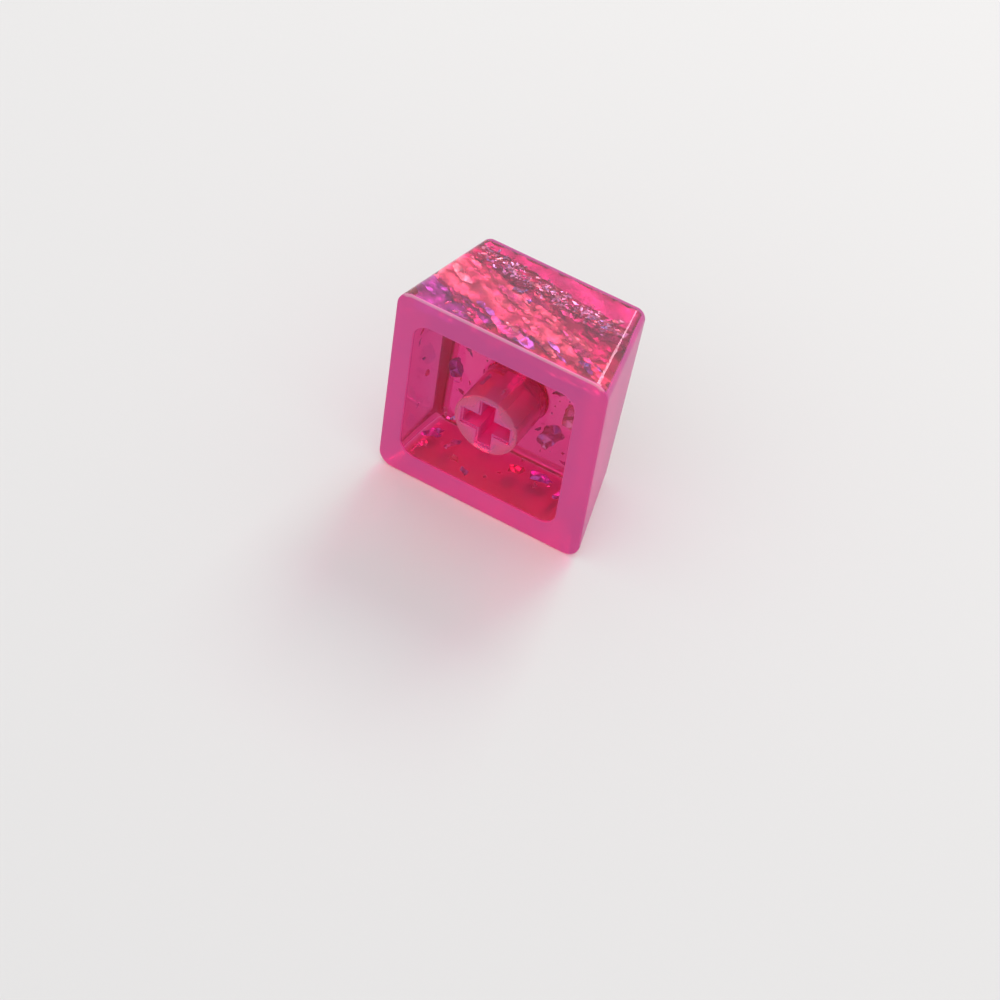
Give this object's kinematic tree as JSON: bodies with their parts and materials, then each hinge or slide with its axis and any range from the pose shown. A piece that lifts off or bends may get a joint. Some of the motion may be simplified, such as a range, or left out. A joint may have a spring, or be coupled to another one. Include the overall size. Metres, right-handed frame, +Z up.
{
  "type": "keycap",
  "caption": "Keyboard keycap cast in clear pink resin with film flakes, lying on its front wall with its hollow underside and stem in view.",
  "frame": {"origin": "centre of the lying part's footprint, on the surface that it lies on", "axes": "+Z up from the front wall that it lies on, -Y the way the open underside faces, X across the keycap's width"},
  "size_m": [0.018, 0.0126, 0.0179],
  "materials": {
    "resin": "clear tinted casting resin, polished outside, with a satin sanded rim",
    "film": "thin iridescent film, crumpled, seen inside the resin"
  },
  "bodies": {
    "root": {"keycap": "resin"}
  },
  "joints": []
}
